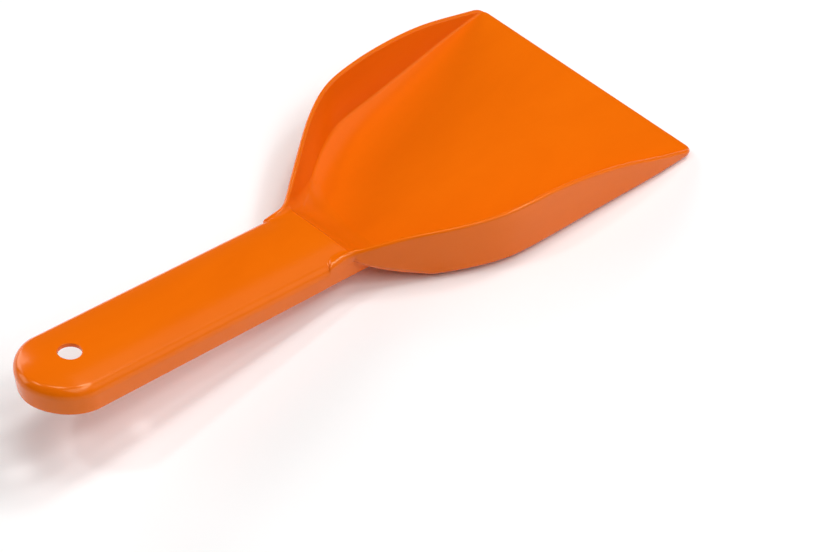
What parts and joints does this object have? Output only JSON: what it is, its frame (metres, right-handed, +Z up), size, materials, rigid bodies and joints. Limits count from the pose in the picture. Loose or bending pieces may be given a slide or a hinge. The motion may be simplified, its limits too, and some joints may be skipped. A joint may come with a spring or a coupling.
{
  "type": "hand scoop",
  "caption": "One-piece moulded plastic hand scoop with a flared flat-bottomed pan, sides that sweep down to a straight lip, and a raised crowned channel handle with a hanging hole.",
  "frame": {"origin": "middle of the bounding box in X and Y, at the height of the pan's flat underside", "axes": "+X across the scoop to its right side, +Y from the handle end to the lip, +Z up out of the pan"},
  "size_m": [0.1116, 0.262, 0.0434],
  "materials": {
    "orange_plastic": "smooth glossy injection-moulded polypropylene, opaque orange"
  },
  "bodies": {
    "root": {"pan_floor": "orange_plastic", "neck_ramp": "orange_plastic", "pan_wall_right": "orange_plastic", "pan_wall_left": "orange_plastic", "handle_top": "orange_plastic", "handle_skirt": "orange_plastic"}
  },
  "joints": []
}
